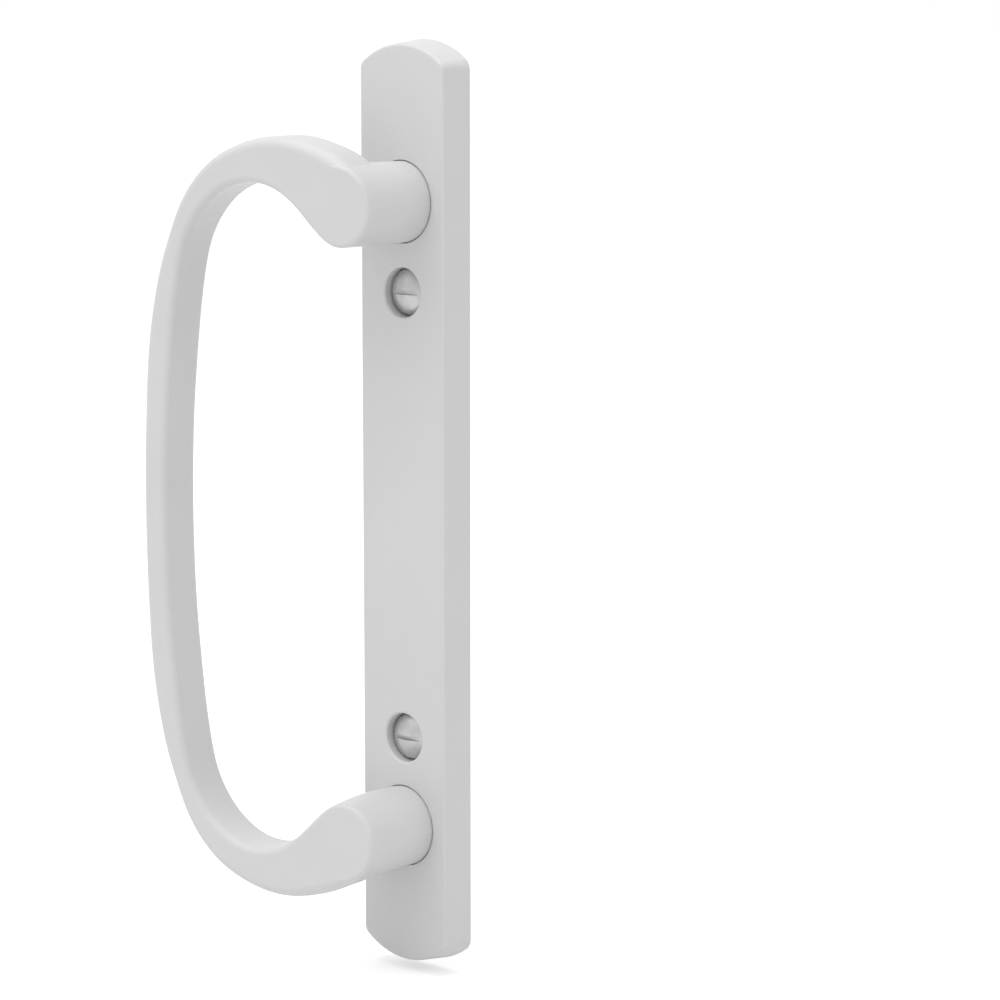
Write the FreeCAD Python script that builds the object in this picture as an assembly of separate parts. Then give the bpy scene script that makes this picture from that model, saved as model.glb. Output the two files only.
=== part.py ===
import FreeCAD, Part
import math
import os

# Sliding door pull handle: a long escutcheon plate with an offset D-shaped pull.
# Millimetres. X runs across the plate, Z runs up the door, +Y points into the door.
# The origin lies on the door's surface, midway between the two mounting screws.

# Plate
screw_spacing = 100.0
plate_top = 105.2
plate_bottom = 101.9
plate_width_back = 27.2
plate_width_front = 25.6
plate_thickness = 7.5
plate_arch_radius = 21.0
plate_corner_radius = 3.2
plate_edge_radius = 0.7
plate_front_wall = 2.4
plate_side_wall = 2.3
rib_thickness = 1.8
cross_rib_heights = (0.0, 17.0, 34.0, 60.0, 90.0)

# Mounting screws, seen through the plate's front
screw_shank_radius = 2.5
screw_neck_radius = 2.24
screw_thread_start = 1.0
screw_hole_play = 0.3
screw_bore_radius = 5.55
screw_bore_depth = 3.8
screw_bore_chamfer = 0.35
screw_boss_radius = 7.5
screw_head_radius = 4.95
screw_head_edge = 1.8
screw_head_dome = 1.7
screw_slot_width = 1.0
screw_slot_depth = 1.0
screw_reach_behind_plate = 11.0
screw_tip_chamfer = 0.6

# Legs of the pull and the screws that hold them from behind
leg_spacing = 140.0
leg_radius = 8.9
leg_mid_radius = 9.05
leg_end_radius = 9.5
leg_reach = 22.0
leg_edge_radius = 0.9
leg_middle_share = 0.45
seat_play = 0.25
seat_depth = 0.8
fixing_shank_radius = 3.0
fixing_thread_play = 0.05
fixing_hole_play = 0.3
fixing_thread_depth = 10.0
fixing_tap_spare = 3.0
fixing_head_radius = 5.4
fixing_head_height = 3.3
fixing_head_play = 0.4
fixing_bore_depth = 3.9
fixing_boss_radius = 8.2
fixing_recess_span = 5.6
fixing_recess_width = 1.3
fixing_recess_depth = 1.9

# Loop of the pull: its flat front lies in a plane that leans away from the door
loop_tilt = 0.18
loop_depth_at_leg = 11.9
loop_depth_at_grip = 12.0
loop_front_radius_at_leg = 1.1
loop_front_radius_at_grip = 1.6
loop_shoulder_radius_at_leg = 3.0
loop_back_radius = 2.3

# Outer and inner edge of the loop at each station, from a leg to the grip's middle, as
# (outer X, outer Z, inner X, inner Z): X in shares of the loop's reach to the side, and the
# height from the handle's middle in shares of half the leg spacing
loop_reach = 51.3
loop_stations = (
    (0.122, 1.092, 0.032, 0.884),
    (0.060, 1.135, -0.016, 0.889),
    (-0.020, 1.166, -0.066, 0.912),
    (-0.110, 1.188, -0.116, 0.946),
    (-0.200, 1.203, -0.182, 0.993),
    (-0.293, 1.208, -0.267, 1.036),
    (-0.393, 1.200, -0.362, 1.060),
    (-0.494, 1.178, -0.452, 1.061),
    (-0.603, 1.139, -0.541, 1.042),
    (-0.709, 1.072, -0.634, 0.998),
    (-0.789, 0.990, -0.710, 0.935),
    (-0.846, 0.897, -0.765, 0.858),
    (-0.900, 0.786, -0.798, 0.763),
    (-0.942, 0.658, -0.823, 0.650),
    (-0.972, 0.513, -0.845, 0.510),
    (-0.988, 0.343, -0.866, 0.343),
    (-0.997, 0.171, -0.878, 0.171),
    (-1.000, 0.000, -0.882, 0.000),
)

# Outline of a leg where it meets the loop's flat front, in shares of the leg's end radius
# from its axis: the side under the loop's inner edge is drawn in
leg_end_outline = (
    (1.08, -0.03),
    (0.79, 0.67),
    (0.16, 0.97),
    (-0.47, 0.72),
    (-0.73, 0.13),
    (-0.52, -0.44),
    (0.06, -0.90),
    (0.77, -0.74),
)

# Levels along Y that several features share
plate_front = -plate_thickness
plate_centre_z = (plate_top - plate_bottom) / 2.0
plate_half_height = (plate_top + plate_bottom) / 2.0
leg_foot = plate_front + seat_depth
screw_seat = plate_front + screw_bore_depth
loop_plane = plate_front - leg_reach
tilt_length = math.hypot(1.0, loop_tilt)
loop_normal = FreeCAD.Vector(loop_tilt / tilt_length, -1.0 / tilt_length, 0.0)
toward_door = FreeCAD.Vector(0.0, 1.0, 0.0)


def point(x, y, z):
    return FreeCAD.Vector(x, y, z)


def rod(radius, y_start, y_end, z, x=0.0):
    # cylinder along Y between two levels
    base = point(x, min(y_start, y_end), z)
    return Part.makeCylinder(radius, abs(y_end - y_start), base, toward_door)


def cone(radius_start, radius_end, y_start, y_end, z):
    return Part.makeCone(radius_start, radius_end, y_end - y_start, point(0.0, y_start, z), toward_door)


def block(x_low, x_high, y_low, y_high, z_low, z_high):
    size = (x_high - x_low, y_high - y_low, z_high - z_low)
    return Part.makeBox(size[0], size[1], size[2], point(x_low, y_low, z_low))


def plate_outline(inset, y):
    # upright outline with shallow arched ends and rounded corners, pulled in by inset
    half = plate_width_back / 2.0 - inset
    reach = plate_half_height - inset
    arch = plate_arch_radius - inset
    corner = max(plate_corner_radius - inset, 0.6)
    arch_centre = reach - arch
    corner_z = arch_centre + math.sqrt((arch - corner) ** 2 - (half - corner) ** 2)
    lean = math.atan2(half - corner, corner_z - arch_centre)
    touch_x = arch * math.sin(lean)
    touch_z = arch_centre + arch * math.cos(lean)
    knee_x = half - corner + corner * math.cos((math.pi / 2.0 - lean) / 2.0)
    knee_z = corner_z + corner * math.sin((math.pi / 2.0 - lean) / 2.0)

    def spot(x, z):
        return point(x, y, z + plate_centre_z)

    edges = []
    for side in (1.0, -1.0):
        low = spot(half * side, -corner_z * side)
        high = spot(half * side, corner_z * side)
        edges.append(Part.LineSegment(low, high).toShape())
        knee = spot(knee_x * side, knee_z * side)
        start = spot(touch_x * side, touch_z * side)
        edges.append(Part.Arc(high, knee, start).toShape())
        apex = spot(0.0, reach * side)
        end = spot(-touch_x * side, touch_z * side)
        edges.append(Part.Arc(start, apex, end).toShape())
        knee = spot(-knee_x * side, knee_z * side)
        foot = spot(-half * side, corner_z * side)
        edges.append(Part.Arc(end, knee, foot).toShape())
    return Part.Wire(edges)


def plate_body():
    # drafted sides, then a rounded front edge stepped through a quarter turn
    draft = (plate_width_back - plate_width_front) / 2.0
    edge = plate_edge_radius
    shoulder = plate_front + edge
    sections = [plate_outline(0.0, 0.0), plate_outline(draft, shoulder)]
    body = Part.makeLoft(sections, True, True)
    layers = [body]
    steps = 5
    for step in range(steps):
        a = math.pi / 2.0 * step / steps
        b = math.pi / 2.0 * (step + 1) / steps
        low = plate_outline(draft + edge * (1.0 - math.cos(a)), shoulder - edge * math.sin(a))
        high = plate_outline(draft + edge * (1.0 - math.cos(b)), shoulder - edge * math.sin(b))
        layers.append(Part.makeLoft([low, high], True, True))
    return layers[0].multiFuse(layers[1:])


def plate_pockets():
    # hollow back between ribs and bosses
    floor = plate_front + plate_front_wall
    hollow = Part.Face(plate_outline(plate_side_wall, 0.0)).extrude(point(0.0, floor, 0.0))
    web = rib_thickness / 2.0
    half = plate_width_back / 2.0
    keep = [block(-web, web, floor, 0.0, -plate_bottom, plate_top)]
    heights = sorted(set(list(cross_rib_heights) + [-z for z in cross_rib_heights]))
    for z in heights:
        keep.append(block(-half, half, floor, 0.0, z - web, z + web))
    for side in (1.0, -1.0):
        keep.append(rod(screw_boss_radius, floor, 0.0, side * screw_spacing / 2.0))
        keep.append(rod(fixing_boss_radius, floor, 0.0, side * leg_spacing / 2.0))
    return hollow.cut(keep[0].multiFuse(keep[1:]))


def make_plate():
    plate = plate_body().cut(plate_pockets())
    tools = []
    for side in (1.0, -1.0):
        z = side * screw_spacing / 2.0
        tools.append(rod(screw_bore_radius, plate_front, screw_seat, z))
        mouth = screw_bore_radius + screw_bore_chamfer
        tools.append(cone(mouth, screw_bore_radius, plate_front, plate_front + screw_bore_chamfer, z))
        tools.append(rod(screw_shank_radius + screw_hole_play, screw_seat, 0.0, z))
        z = side * leg_spacing / 2.0
        tools.append(rod(leg_radius + seat_play, plate_front, leg_foot, z))
        tools.append(rod(fixing_shank_radius + fixing_hole_play, leg_foot, -fixing_bore_depth, z))
        tools.append(rod(fixing_head_radius + fixing_head_play, -fixing_bore_depth, 0.0, z))
    return plate.cut(tools[0].multiFuse(tools[1:])).removeSplitter()


def make_mounting_screw(side):
    # domed slotted head in the plate's bore, plain neck, then the threaded shank in the door
    z = side * screw_spacing / 2.0
    edge_level = screw_seat - screw_head_edge
    crown = edge_level - screw_head_dome
    ball = (screw_head_radius ** 2 + screw_head_dome ** 2) / (2.0 * screw_head_dome)
    dome = Part.makeSphere(ball, point(0.0, crown + ball, z))
    dome = dome.common(rod(screw_head_radius, crown, edge_level, z))
    head = rod(screw_head_radius, edge_level, screw_seat, z).fuse(dome)
    end = screw_reach_behind_plate
    start = screw_thread_start
    ease = screw_shank_radius - screw_neck_radius
    neck = rod(screw_neck_radius, screw_seat, start + ease, z)
    runout = cone(screw_neck_radius, screw_shank_radius, start, start + ease, z)
    shank = rod(screw_shank_radius, start + ease, end - screw_tip_chamfer, z)
    tip = cone(screw_shank_radius, screw_shank_radius - screw_tip_chamfer, end - screw_tip_chamfer, end, z)
    slot = block(-screw_head_radius, screw_head_radius, crown, crown + screw_slot_depth,
                 z - screw_slot_width / 2.0, z + screw_slot_width / 2.0)
    return head.multiFuse([neck, runout, shank, tip]).cut(slot).removeSplitter()


def make_fixing_screw(side):
    # cross-recessed screw that clamps a leg of the pull from the plate's back
    z = side * leg_spacing / 2.0
    seat = -fixing_bore_depth
    crown = seat + fixing_head_height
    head = rod(fixing_head_radius, seat, crown, z)
    tip = leg_foot - fixing_thread_depth
    shank = rod(fixing_shank_radius, tip, seat, z)
    half = fixing_recess_span / 2.0
    web = fixing_recess_width / 2.0
    low = crown - fixing_recess_depth
    cross = block(-half, half, low, crown, z - web, z + web)
    cross = cross.fuse(block(-web, web, low, crown, z - half, z + half))
    return head.fuse(shank).cut(cross).removeSplitter()


def loop_point(x, z, depth):
    # point below the loop's flat front, measured square to it
    front = point(x, loop_plane + loop_tilt * x, z)
    return front - loop_normal * depth


def loop_section(station, mirror, share):
    # rounded rectangle across the loop between its outer and inner edge
    half = leg_spacing / 2.0 * mirror
    outer_x, outer_z = station[0] * loop_reach, station[1] * half
    inner_x, inner_z = station[2] * loop_reach, station[3] * half
    depth = loop_depth_at_leg + (loop_depth_at_grip - loop_depth_at_leg) * share
    front = loop_front_radius_at_leg + (loop_front_radius_at_grip - loop_front_radius_at_leg) * share
    shoulder = loop_shoulder_radius_at_leg * (1.0 - share) + loop_front_radius_at_grip * share
    back = loop_back_radius
    outer = loop_point(outer_x, outer_z, 0.0)
    inner = loop_point(inner_x, inner_z, 0.0)
    width = (outer - inner).Length
    across = (outer - inner).normalize()

    def spot(along, down):
        return inner + across * along - loop_normal * down

    def corner(along, down, radius, side_along, side_down):
        # arc from the flat along the width to the flat along the depth
        bend = radius * (1.0 - math.sqrt(0.5))
        a = spot(along + side_along * radius, down)
        m = spot(along + side_along * bend, down + side_down * bend)
        b = spot(along, down + side_down * radius)
        return a, m, b

    f_in = corner(0.0, 0.0, front, 1.0, 1.0)
    f_out = corner(width, 0.0, shoulder, -1.0, 1.0)
    b_out = corner(width, depth, back, -1.0, -1.0)
    b_in = corner(0.0, depth, back, 1.0, -1.0)
    edges = [
        Part.LineSegment(f_in[0], f_out[0]).toShape(),
        Part.Arc(f_out[0], f_out[1], f_out[2]).toShape(),
        Part.LineSegment(f_out[2], b_out[2]).toShape(),
        Part.Arc(b_out[2], b_out[1], b_out[0]).toShape(),
        Part.LineSegment(b_out[0], b_in[0]).toShape(),
        Part.Arc(b_in[0], b_in[1], b_in[2]).toShape(),
        Part.LineSegment(b_in[2], f_in[2]).toShape(),
        Part.Arc(f_in[2], f_in[1], f_in[0]).toShape(),
    ]
    return Part.Wire(edges)


def make_loop():
    # one smooth loft from leg to leg
    last = len(loop_stations) - 1
    sections = []
    for index, station in enumerate(loop_stations):
        share = min(1.0, index / 9.0)
        sections.append(loop_section(station, 1.0, share))
    for index in range(last - 1, -1, -1):
        share = min(1.0, index / 9.0)
        sections.append(loop_section(loop_stations[index], -1.0, share))
    return Part.makeLoft(sections, True, False)


def arc_wire(spots):
    # closed wire of four arcs through eight points
    edges = []
    for step in range(0, 8, 2):
        edges.append(Part.Arc(spots[step], spots[step + 1], spots[(step + 2) % 8]).toShape())
    return Part.Wire(edges)


def leg_ring(y, z, radius):
    spots = []
    for step in range(8):
        turn = math.pi / 4.0 * step
        spots.append(point(radius * math.cos(turn), y, z + radius * math.sin(turn)))
    return arc_wire(spots)


def leg_end_ring(side, inset):
    # outline under the loop's flat front; the inset rounds its edge over
    z = side * leg_spacing / 2.0
    size = leg_end_radius - inset
    depth = leg_edge_radius - math.sqrt(leg_edge_radius ** 2 - (leg_edge_radius - inset) ** 2)
    spots = []
    for share_x, share_z in leg_end_outline:
        spots.append(loop_point(share_x * size, z + share_z * size * side, depth))
    if side < 0.0:
        spots = [spots[0]] + spots[:0:-1]
    return arc_wire(spots)


def make_leg(side):
    # round leg whose end leans with the loop's flat front
    z = side * leg_spacing / 2.0
    end_y = loop_plane + leg_edge_radius
    middle = leg_foot + (end_y - leg_foot) * leg_middle_share
    rings = [leg_ring(leg_foot, z, leg_radius), leg_ring(middle, z, leg_mid_radius), leg_end_ring(side, 0.0)]
    leg = Part.makeLoft(rings, True, False)
    steps = 4
    insets = [leg_edge_radius * (1.0 - math.cos(math.pi / 2.0 * step / steps)) for step in range(steps + 1)]
    layers = []
    for low, high in zip(insets, insets[1:]):
        layers.append(Part.makeLoft([leg_end_ring(side, low), leg_end_ring(side, high)], True, True))
    return leg.multiFuse(layers)


def make_pull():
    loop = make_loop()
    legs = [make_leg(1.0), make_leg(-1.0)]
    pull = loop.multiFuse(legs)
    holes = []
    for side in (1.0, -1.0):
        depth = leg_foot - fixing_thread_depth - fixing_tap_spare
        holes.append(rod(fixing_shank_radius + fixing_thread_play, depth, leg_foot, side * leg_spacing / 2.0))
    return pull.cut(holes[0].fuse(holes[1]))


def main():
    nodes = {
        "escutcheon_plate": make_plate(),
        "pull_handle": make_pull(),
        "mounting_screw_upper": make_mounting_screw(1.0),
        "mounting_screw_lower": make_mounting_screw(-1.0),
        "pull_screw_upper": make_fixing_screw(1.0),
        "pull_screw_lower": make_fixing_screw(-1.0),
    }
    os.makedirs("parts", exist_ok=True)
    for name, shape in nodes.items():
        box = shape.BoundBox
        print(name, "solids", len(shape.Solids), "valid", shape.isValid(), "volume", round(shape.Volume, 1),
              "box", [round(v, 2) for v in (box.XMin, box.XMax, box.YMin, box.YMax, box.ZMin, box.ZMax)])
        shape.exportStep("parts/" + name + ".step")


main()
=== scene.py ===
import bmesh
import bpy
import math
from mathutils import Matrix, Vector


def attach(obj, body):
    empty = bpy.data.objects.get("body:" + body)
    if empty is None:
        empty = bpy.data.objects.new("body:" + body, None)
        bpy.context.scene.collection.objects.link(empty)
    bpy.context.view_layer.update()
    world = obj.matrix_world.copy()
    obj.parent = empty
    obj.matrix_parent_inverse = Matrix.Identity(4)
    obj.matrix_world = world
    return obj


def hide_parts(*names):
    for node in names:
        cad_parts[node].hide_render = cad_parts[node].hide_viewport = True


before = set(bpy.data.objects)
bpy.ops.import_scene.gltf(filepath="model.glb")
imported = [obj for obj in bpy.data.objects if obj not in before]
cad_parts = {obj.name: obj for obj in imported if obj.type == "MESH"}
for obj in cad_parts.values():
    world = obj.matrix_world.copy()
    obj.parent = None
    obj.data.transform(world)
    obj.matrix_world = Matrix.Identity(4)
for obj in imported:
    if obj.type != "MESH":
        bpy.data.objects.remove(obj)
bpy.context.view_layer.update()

# Lengths are in metres and angles in degrees, unless a name says otherwise.

# Camera: where it stands round the handle, and the small turn of its view off the aim point
CAM_AZIMUTH = 44.668
CAM_ELEVATION = 9.051
CAM_DISTANCE = 0.8264
CAM_FOCAL_PX = 3713.0
CAM_NEAREST = 0.01
CAM_FARTHEST = 50.0
IMAGE_PX = 1000.0
SENSOR_MM = 36.0
AIM_AZIMUTH = -1.348
AIM_ELEVATION = -0.237
AIM_POINT = Vector((0.0, -0.004, 0.0))

# Floor, and the strength of the plain light all round: what falls on the handle, and
# what the camera and reflections see
FLOOR_LEVEL = -0.1035
FLOOR_REACH = 6.0
FLOOR_GREY = (0.82, 0.82, 0.82, 1.0)
FLOOR_GLOW = 0.42
ROOM_WHITE = (1.0, 1.0, 1.0, 1.0)
ROOM_LIGHT = 0.755
ROOM_BACKDROP = 1.0

# Studio lamps: name, azimuth, elevation, distance, width, height and watts
LAMPS = (
    ("overhead", 0.0, 78.0, 1.3, 1.2, 1.2, 7.6),
    ("key", -20.0, 45.0, 1.6, 1.0, 1.0, 2.9),
)

# Door screw, along its own axis from the plate's back, with its head at the negative end
SCREW_COUNT = 2
SCREW_SPACING = 0.100
SCREW_SEAT = -0.0037
SCREW_SEAT_CHAMFER = 0.0001
SCREW_HEAD_RADIUS = 0.00495
SCREW_HEAD_EDGE = 0.0018
SCREW_HEAD_DOME = 0.0017
SCREW_RIM_RADIUS = 0.0003
SCREW_NECK_RADIUS = 0.00224
SCREW_TIP_RADIUS = 0.0019
SCREW_TIP_CHAMFER = 0.0002
SCREW_END = 0.0110
SCREW_CROWN = SCREW_SEAT - SCREW_HEAD_EDGE - SCREW_HEAD_DOME

# Slot across the dome, and how far its cutter passes the crown and the rim
SLOT_WIDTH = 0.0010
SLOT_DEPTH = 0.0010
SLOT_RISE = 0.0010
SLOT_REACH = 1.2 * SCREW_HEAD_RADIUS

# Thread, which rises out of the neck and sinks to its root at the tip. Its profile goes
# through one turn by the share of the pitch, and there the share of the depth.
THREAD_START = 0.0010
THREAD_END = 0.0104
THREAD_RISE = 0.0005
THREAD_FALL = 0.0004
THREAD_PITCH = 0.0008
THREAD_CREST_RADIUS = 0.0025
THREAD_ROOT_RADIUS = 0.00205
THREAD_DEPTH = THREAD_CREST_RADIUS - THREAD_ROOT_RADIUS
THREAD_PROFILE = (
    (0.0, 0.0), (0.12, 0.0), (0.24, 1.0 / 3.0), (0.36, 2.0 / 3.0),
    (0.48, 1.0), (0.60, 1.0), (0.72, 2.0 / 3.0), (0.86, 1.0 / 3.0),
)

# Fineness of the screw's mesh
SCREW_SIDES = 96
DOME_RINGS = 14
RIM_RINGS = 5
CRISP_EDGE_ANGLE = 38.0
SAME_POINT = 1e-8
SLIVER = 1e-9

# Finishes: a noise is its scale, detail and roughness, a bump is its strength and depth,
# and a band is the part of a pattern's values over which a mask or a roughness changes
RISING = (0.0, 1.0)
FALLING = (1.0, 0.0)
COAT_DARK = (0.648, 0.648, 0.646)
COAT_PALE = (0.668, 0.668, 0.665)
COAT_CLOUD = (30.0, 3.0, 0.55)
COAT_CLOUD_BAND = (0.35, 0.65)
# painted highlight: the coat's colour lightens to this on rounded edges
COAT_EDGE_HIGHLIGHT = (0.700, 0.700, 0.696)
COAT_EDGE_RADIUS = 0.00035
COAT_EDGE_SAMPLES = 6
COAT_EDGE_BAND = (0.90, 0.995)
COAT_EDGE_ROUGHNESS = -0.06
COAT_ROUGHNESS = (0.38, 0.50)
COAT_SATIN = (700.0, 4.0, 0.65)
COAT_SATIN_BAND = (0.3, 0.7)
COAT_PEEL = (780.0, 1.5, 0.4)
COAT_PEEL_BUMP = (0.16, 0.00006)
COAT_GRIT = (5200.0, 2.0, 0.6)
COAT_GRIT_BUMP = (0.10, 0.00002)
ZINC_DARK = (0.47, 0.475, 0.48)
ZINC_PALE = (0.56, 0.56, 0.556)
ZINC_METALLIC = 0.7
ZINC_BLOTCH = (420.0, 4.0, 0.6)
ZINC_ROUGHNESS = (0.34, 0.44)
ZINC_SMEAR = (1500.0, 3.0, 0.6)
ZINC_BAND = (0.3, 0.7)
ZINC_GRAIN = (2400.0, 3.0, 0.55)
ZINC_GRAIN_BUMP = (0.03, 0.00002)
ZINC_TURNING_SCALE = 9000.0
ZINC_TURNING_DETAIL = 2.0
ZINC_TURNING_BUMP = (0.05, 0.00002)

# Colour sockets of a mixing node: its two inputs and its output
TINT_LOW = 6
TINT_HIGH = 7
TINT_RESULT = 2

# Heights of the screws' axes above and below the plate's middle
DOOR_SCREW_HEIGHT = SCREW_SPACING / 2.0
PULL_SCREW_HEIGHT = 0.070


def back_vector(azimuth, elevation):
    # direction from the object to a viewer or lamp
    a, e = math.radians(azimuth), math.radians(elevation)
    return Vector((math.sin(a) * math.cos(e), -math.cos(a) * math.cos(e), math.sin(e)))


def place_object(name, data):
    obj = bpy.data.objects.new(name, data)
    bpy.context.scene.collection.objects.link(obj)
    return obj


def face_along(obj, back):
    # turn a camera or lamp so that it looks away from its own back
    obj.rotation_mode = "QUATERNION"
    obj.rotation_quaternion = (-back).to_track_quat("-Z", "Y")


def make_camera():
    data = bpy.data.cameras.new("camera")
    data.sensor_width = SENSOR_MM
    data.lens = CAM_FOCAL_PX / IMAGE_PX * SENSOR_MM
    data.clip_start = CAM_NEAREST
    data.clip_end = CAM_FARTHEST
    cam = place_object("camera", data)
    cam.location = AIM_POINT + back_vector(CAM_AZIMUTH, CAM_ELEVATION) * CAM_DISTANCE
    face_along(cam, back_vector(CAM_AZIMUTH + AIM_AZIMUTH, CAM_ELEVATION + AIM_ELEVATION))
    bpy.context.scene.camera = cam


def make_lamps():
    for name, azimuth, elevation, distance, width, height, watts in LAMPS:
        data = bpy.data.lights.new(name, "AREA")
        data.shape = "RECTANGLE"
        data.size = width
        data.size_y = height
        data.energy = watts
        lamp = place_object(name, data)
        back = back_vector(azimuth, elevation)
        lamp.location = back * distance
        face_along(lamp, back)


class Nodes:
    # short calls for building any node tree

    def __init__(self, tree):
        self.tree = tree
        self.tree.nodes.clear()

    def add(self, kind, inputs=None, **settings):
        node = self.tree.nodes.new(kind)
        for key, value in settings.items():
            setattr(node, key, value)
        for key, value in (inputs or {}).items():
            node.inputs[key].default_value = value
        return node

    def link(self, a, out, b, into):
        self.tree.links.new(a.outputs[out], b.inputs[into])

    def math(self, operation, *terms):
        # each term is a number, or a node with the output that gives it
        node = self.add("ShaderNodeMath", operation=operation)
        for index, term in enumerate(terms):
            if isinstance(term, tuple):
                self.link(*term, node, index)
            else:
                node.inputs[index].default_value = term
        return node

    def seen(self):
        # 1 where the camera or a reflection looks straight at it, 0 for all other light
        path = self.add("ShaderNodeLightPath")
        return self.math("MAXIMUM", (path, "Is Camera Ray"), (path, "Is Glossy Ray"))


class Finish(Nodes):
    # one material, with its patterns on the object's own coordinates

    def __init__(self, name):
        self.mat = bpy.data.materials.new(name)
        self.mat.use_nodes = True
        super().__init__(self.mat.node_tree)

    def lay_on_object(self, pattern):
        self.link(self.add("ShaderNodeTexCoord"), "Object", pattern, "Vector")

    def noise(self, scale, detail, roughness):
        node = self.add("ShaderNodeTexNoise", {
            "Scale": scale, "Detail": detail, "Roughness": roughness})
        self.lay_on_object(node)
        return node

    def spread(self, source, out, values, band):
        # from the first value to the second, as the source goes through the band
        node = self.add("ShaderNodeMapRange", {
            "From Min": band[0], "From Max": band[1], "To Min": values[0], "To Max": values[1]})
        self.link(source, out, node, "Value")
        return node

    def tint(self, mask, low, high):
        # from the low colour, or an earlier tint, to the high colour, as the mask rises
        node = self.add("ShaderNodeMix", data_type="RGBA")
        for index, colour in ((TINT_LOW, low), (TINT_HIGH, high)):
            if isinstance(colour, tuple):
                node.inputs[index].default_value = (*colour, 1.0)
            else:
                self.link(colour, TINT_RESULT, node, index)
        self.link(mask, "Result", node, 0)
        return node

    def bump(self, height, strength, depth, under=None):
        # relief from a noise, on top of the relief under it
        node = self.add("ShaderNodeBump", {"Strength": strength, "Distance": depth})
        self.link(height, "Fac", node, "Height")
        if under is not None:
            self.link(under, "Normal", node, "Normal")
        return node

    def surface(self, colour, gloss, gloss_out, normal, metallic):
        shader = self.add("ShaderNodeBsdfPrincipled", {"Metallic": metallic})
        self.link(colour, TINT_RESULT, shader, "Base Color")
        self.link(gloss, gloss_out, shader, "Roughness")
        self.link(normal, "Normal", shader, "Normal")
        return self.closed(shader, "BSDF")

    def closed(self, shader, out):
        end = self.add("ShaderNodeOutputMaterial")
        self.link(shader, out, end, "Surface")
        return self.mat


def rounding_and_edge_highlight(f):
    # rounded shading normal, and a mask that rises towards an edge, for a painted highlight
    # there
    rounded = f.add("ShaderNodeBevel", {"Radius": COAT_EDGE_RADIUS}, samples=COAT_EDGE_SAMPLES)
    flat = f.add("ShaderNodeNewGeometry")
    agree = f.add("ShaderNodeVectorMath", operation="DOT_PRODUCT")
    f.link(rounded, "Normal", agree, 0)
    f.link(flat, "Normal", agree, 1)
    return rounded, f.spread(agree, "Value", FALLING, COAT_EDGE_BAND)


def powder_coat():
    # satin white powder coat: faint clouding, orange peel, and a painted highlight on the
    # edges, which are also glossier
    f = Finish("white_powder_coat")
    cloud = f.spread(f.noise(*COAT_CLOUD), "Fac", RISING, COAT_CLOUD_BAND)
    rounded, edge = rounding_and_edge_highlight(f)
    # lighter towards the edges: a painted highlight where rounded edges catch the light
    colour = f.tint(edge, f.tint(cloud, COAT_DARK, COAT_PALE), COAT_EDGE_HIGHLIGHT)
    satin = f.spread(f.noise(*COAT_SATIN), "Fac", COAT_ROUGHNESS, COAT_SATIN_BAND)
    smooth = f.math("MULTIPLY", (edge, "Result"), COAT_EDGE_ROUGHNESS)
    gloss = f.math("ADD", (satin, "Result"), (smooth, "Value"))
    peel = f.bump(f.noise(*COAT_PEEL), *COAT_PEEL_BUMP, rounded)
    grit = f.bump(f.noise(*COAT_GRIT), *COAT_GRIT_BUMP, peel)
    return f.surface(colour, gloss, "Value", grit, 0.0)


def turning_marks(f, axis_height):
    # fine rings round two axes, this far above and below the plate's middle
    place = f.add("ShaderNodeSeparateXYZ")
    f.lay_on_object(place)
    height = f.math("ABSOLUTE", (place, "Z"))
    off_axis = f.math("SUBTRACT", (height, "Value"), axis_height)
    across = f.add("ShaderNodeCombineXYZ")
    f.link(place, "X", across, "X")
    f.link(off_axis, "Value", across, "Z")
    radius = f.add("ShaderNodeVectorMath", operation="LENGTH")
    f.link(across, "Vector", radius, 0)
    rings = f.add("ShaderNodeTexNoise", {
        "Scale": ZINC_TURNING_SCALE, "Detail": ZINC_TURNING_DETAIL}, noise_dimensions="1D")
    f.link(radius, "Value", rings, "W")
    return rings


def zinc_plate(name, axis_height):
    # bright plated steel, blotched, with the marks that turning left
    f = Finish(name)
    rings = turning_marks(f, axis_height)
    blotch = f.spread(f.noise(*ZINC_BLOTCH), "Fac", RISING, ZINC_BAND)
    colour = f.tint(blotch, ZINC_DARK, ZINC_PALE)
    gloss = f.spread(f.noise(*ZINC_SMEAR), "Fac", ZINC_ROUGHNESS, ZINC_BAND)
    turned = f.bump(rings, *ZINC_TURNING_BUMP)
    grain = f.bump(f.noise(*ZINC_GRAIN), *ZINC_GRAIN_BUMP, turned)
    return f.surface(colour, gloss, "Result", grain, ZINC_METALLIC)


def pale_floor():
    # white where nothing shades it, and still keeping the object's shadow
    f = Finish("pale_floor")
    matt = f.add("ShaderNodeBsdfDiffuse", {"Color": FLOOR_GREY})
    glow = f.add("ShaderNodeEmission")
    level = f.math("MULTIPLY", (f.seen(), "Value"), FLOOR_GLOW)
    f.link(level, "Value", glow, "Strength")
    both = f.add("ShaderNodeAddShader")
    f.link(matt, "BSDF", both, 0)
    f.link(glow, "Emission", both, 1)
    return f.closed(both, "Shader")


def make_floor():
    mesh = bpy.data.meshes.new("floor")
    corners = [(x * FLOOR_REACH, y * FLOOR_REACH, FLOOR_LEVEL)
               for x, y in ((-1, -1), (1, -1), (1, 1), (-1, 1))]
    mesh.from_pydata(corners, [], [(0, 1, 2, 3)])
    mesh.materials.append(pale_floor())
    place_object("floor", mesh)


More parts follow.
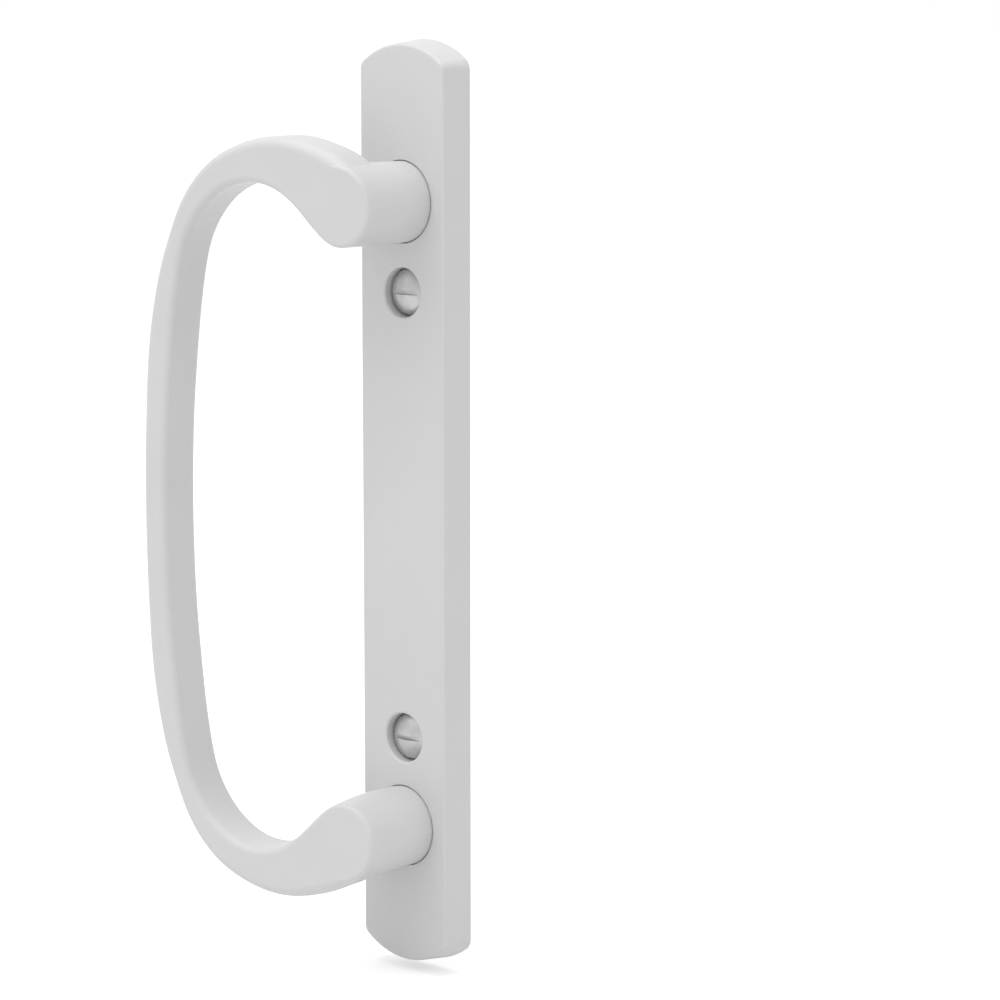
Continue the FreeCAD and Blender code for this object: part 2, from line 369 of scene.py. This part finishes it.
def make_room_light():
    # plain light from all round, white where the camera or a reflection sees it
    world = bpy.data.worlds.new("studio")
    bpy.context.scene.world = world
    world.use_nodes = True
    room = Nodes(world.node_tree)
    mix = room.add("ShaderNodeMixShader")
    room.link(room.seen(), "Value", mix, 0)
    for index, strength in ((1, ROOM_LIGHT), (2, ROOM_BACKDROP)):
        plain = room.add("ShaderNodeBackground", {"Color": ROOM_WHITE, "Strength": strength})
        room.link(plain, "Background", mix, index)
    end = room.add("ShaderNodeOutputWorld")
    room.link(mix, "Shader", end, "Surface")


def around(radius, level, turn):
    # a point at a height along the screw's axis, turned round it
    return radius * math.cos(turn), level, radius * math.sin(turn)


def ring(radius, level):
    # closed ring round the screw's axis, the last point on the first
    return [around(radius, level, 2.0 * math.pi * side / SCREW_SIDES)
            for side in range(SCREW_SIDES + 1)]


def head_rings():
    # dome, rounded rim, flat seat and plain neck
    rim = SCREW_RIM_RADIUS
    ball = (SCREW_HEAD_RADIUS ** 2 + SCREW_HEAD_DOME ** 2) / (2.0 * SCREW_HEAD_DOME)
    lean = math.asin((SCREW_HEAD_RADIUS - rim) / (ball - rim))
    centre = SCREW_CROWN + ball
    rings = [ring(0.0, SCREW_CROWN)]
    for step in range(1, DOME_RINGS + 1):
        turn = lean * step / DOME_RINGS
        rings.append(ring(ball * math.sin(turn), centre - ball * math.cos(turn)))
    rim_radius = SCREW_HEAD_RADIUS - rim
    rim_level = centre - (ball - rim) * math.cos(lean)
    for step in range(1, RIM_RINGS + 1):
        turn = lean + (math.pi / 2.0 - lean) * step / RIM_RINGS
        rings.append(ring(rim_radius + rim * math.sin(turn), rim_level - rim * math.cos(turn)))
    rings.append(ring(SCREW_HEAD_RADIUS, SCREW_SEAT - SCREW_SEAT_CHAMFER))
    rings.append(ring(SCREW_HEAD_RADIUS - SCREW_SEAT_CHAMFER, SCREW_SEAT))
    rings.append(ring(SCREW_NECK_RADIUS, SCREW_SEAT))
    rings.append(ring(SCREW_NECK_RADIUS, THREAD_START))
    return rings


def thread_row(turns, height):
    # one line of the helix, this many turns along it, held level beyond the thread's ends
    row = []
    for side in range(SCREW_SIDES + 1):
        part = side / SCREW_SIDES
        level = THREAD_START + THREAD_PITCH * (turns + part)
        rise = min(1.0, max(0.0, (level - THREAD_START) / THREAD_RISE))
        fall = min(1.0, max(0.0, (THREAD_END - level) / THREAD_FALL))
        radius = SCREW_NECK_RADIUS + (height - SCREW_NECK_RADIUS) * rise
        radius = THREAD_ROOT_RADIUS + (radius - THREAD_ROOT_RADIUS) * fall
        level = min(THREAD_END, max(THREAD_START, level))
        row.append(around(radius, level, 2.0 * math.pi * part))
    return row


def thread_rings():
    # the helix's lines, begun a turn early and ended late, and then the chamfered tip
    rows = []
    for turn in range(-1, int((THREAD_END - THREAD_START) / THREAD_PITCH) + 2):
        for share, depth in THREAD_PROFILE:
            rows.append(thread_row(turn + share, THREAD_ROOT_RADIUS + THREAD_DEPTH * depth))
    rows.append(ring(SCREW_TIP_RADIUS, SCREW_END - SCREW_TIP_CHAMFER))
    rows.append(ring(SCREW_TIP_RADIUS - SCREW_TIP_CHAMFER, SCREW_END))
    rows.append(ring(0.0, SCREW_END))
    return rows


def skin(name, rows):
    # closed skin over rows of points
    mesh = bpy.data.meshes.new(name)
    span = SCREW_SIDES + 1
    faces = []
    for row in range(len(rows) - 1):
        for side in range(SCREW_SIDES):
            a = row * span + side
            faces.append((a, a + 1, a + 1 + span, a + span))
    mesh.from_pydata([point for row in rows for point in row], [], faces)
    work = bmesh.new()
    work.from_mesh(mesh)
    bmesh.ops.remove_doubles(work, verts=work.verts, dist=SAME_POINT)
    bmesh.ops.dissolve_degenerate(work, edges=work.edges, dist=SLIVER)
    bmesh.ops.recalc_face_normals(work, faces=work.faces)
    work.to_mesh(mesh)
    work.free()
    return mesh


def slot_cutter():
    # block as wide as the slot, from above the crown down to the slot's floor
    low, high = SCREW_CROWN - SLOT_RISE, SCREW_CROWN + SLOT_DEPTH
    mesh = bpy.data.meshes.new("slot_cutter")
    work = bmesh.new()
    bmesh.ops.create_cube(work, size=1.0)
    for vert in work.verts:
        x, y, z = vert.co
        vert.co = (2.0 * SLOT_REACH * x, low + (high - low) * (y + 0.5), SLOT_WIDTH * z)
    work.to_mesh(mesh)
    work.free()
    return mesh


def baked(obj, name):
    # plain mesh of an object with its modifiers applied
    bpy.context.view_layer.update()
    depsgraph = bpy.context.evaluated_depsgraph_get()
    mesh = bpy.data.meshes.new_from_object(obj.evaluated_get(depsgraph))
    mesh.name = name
    return mesh


def screw_mesh():
    # one screw on its own axis, its slot cut across the dome
    screw = place_object("screw_form", skin("screw_form", head_rings() + thread_rings()))
    cutter = place_object("slot_cutter", slot_cutter())
    cut = screw.modifiers.new("slot", "BOOLEAN")
    cut.operation = "DIFFERENCE"
    cut.solver = "EXACT"
    cut.object = cutter
    mesh = baked(screw, "door_screw")
    bpy.data.objects.remove(screw)
    bpy.data.objects.remove(cutter)
    return mesh


def screw_row_tree(source, finish):
    # a column of like screws, evenly spaced up the plate and centred on the origin
    tree = bpy.data.node_groups.new("screw_row", "GeometryNodeTree")
    for name, way, kind in (("Geometry", "INPUT", "NodeSocketGeometry"),
                            ("Count", "INPUT", "NodeSocketInt"),
                            ("Spacing", "INPUT", "NodeSocketFloat"),
                            ("Geometry", "OUTPUT", "NodeSocketGeometry")):
        tree.interface.new_socket(name, in_out=way, socket_type=kind)
    row = Nodes(tree)
    given = row.add("NodeGroupInput")
    gaps = row.math("SUBTRACT", (given, "Count"), 1.0)
    height = row.math("MULTIPLY", (gaps, "Value"), (given, "Spacing"))
    lowest = row.math("MULTIPLY", (height, "Value"), -0.5)
    start = row.add("ShaderNodeCombineXYZ")
    row.link(lowest, "Value", start, "Z")
    step = row.add("ShaderNodeCombineXYZ")
    row.link(given, "Spacing", step, "Z")
    line = row.add("GeometryNodeMeshLine")
    row.link(given, "Count", line, "Count")
    row.link(start, "Vector", line, "Start Location")
    row.link(step, "Vector", line, "Offset")
    screw = row.add("GeometryNodeObjectInfo", {"Object": source})
    place = row.add("GeometryNodeInstanceOnPoints")
    row.link(line, "Mesh", place, "Points")
    row.link(screw, "Geometry", place, "Instance")
    real = row.add("GeometryNodeRealizeInstances")
    row.link(place, "Instances", real, "Geometry")
    paint = row.add("GeometryNodeSetMaterial", {"Material": finish})
    row.link(real, "Geometry", paint, "Geometry")
    end = row.add("NodeGroupOutput")
    row.link(paint, "Geometry", end, "Geometry")
    return tree


def soften(mesh):
    # smooth faces with crisp edges at the slot and seat
    crisp = math.radians(CRISP_EDGE_ANGLE)
    work = bmesh.new()
    work.from_mesh(mesh)
    for face in work.faces:
        face.smooth = True
    for edge in work.edges:
        edge.smooth = len(edge.link_faces) == 2 and edge.calc_face_angle(0.0) < crisp
    work.to_mesh(mesh)
    work.free()


def make_door_screws(finish):
    form = place_object("door_screw_form", screw_mesh())
    host = place_object("door_screw_host", bpy.data.meshes.new("door_screw_host"))
    tree = screw_row_tree(form, finish)
    row = host.modifiers.new("row", "NODES")
    row.node_group = tree
    wanted = {"Count": SCREW_COUNT, "Spacing": SCREW_SPACING}
    for item in tree.interface.items_tree:
        if item.in_out == "INPUT" and item.name in wanted:
            row[item.identifier] = wanted[item.name]
    piece = place_object("door_screws", baked(host, "door_screws"))
    bpy.data.objects.remove(host)
    bpy.data.objects.remove(form)
    soften(piece.data)
    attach(piece, "root")
    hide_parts("mounting_screw_upper", "mounting_screw_lower")


def dress(looks):
    # give each solid of the frame its finish
    for name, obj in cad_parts.items():
        obj.data.materials.clear()
        obj.data.materials.append(looks[name])


bpy.context.scene.view_settings.view_transform = "Standard"
make_camera()
make_room_light()
make_lamps()
make_floor()
white = powder_coat()
door_screw_finish = zinc_plate("zinc_plate_door_screws", DOOR_SCREW_HEIGHT)
pull_screw_finish = zinc_plate("zinc_plate_pull_screws", PULL_SCREW_HEIGHT)
dress({
    "escutcheon_plate": white,
    "pull_handle": white,
    "mounting_screw_upper": door_screw_finish,
    "mounting_screw_lower": door_screw_finish,
    "pull_screw_upper": pull_screw_finish,
    "pull_screw_lower": pull_screw_finish,
})
make_door_screws(door_screw_finish)
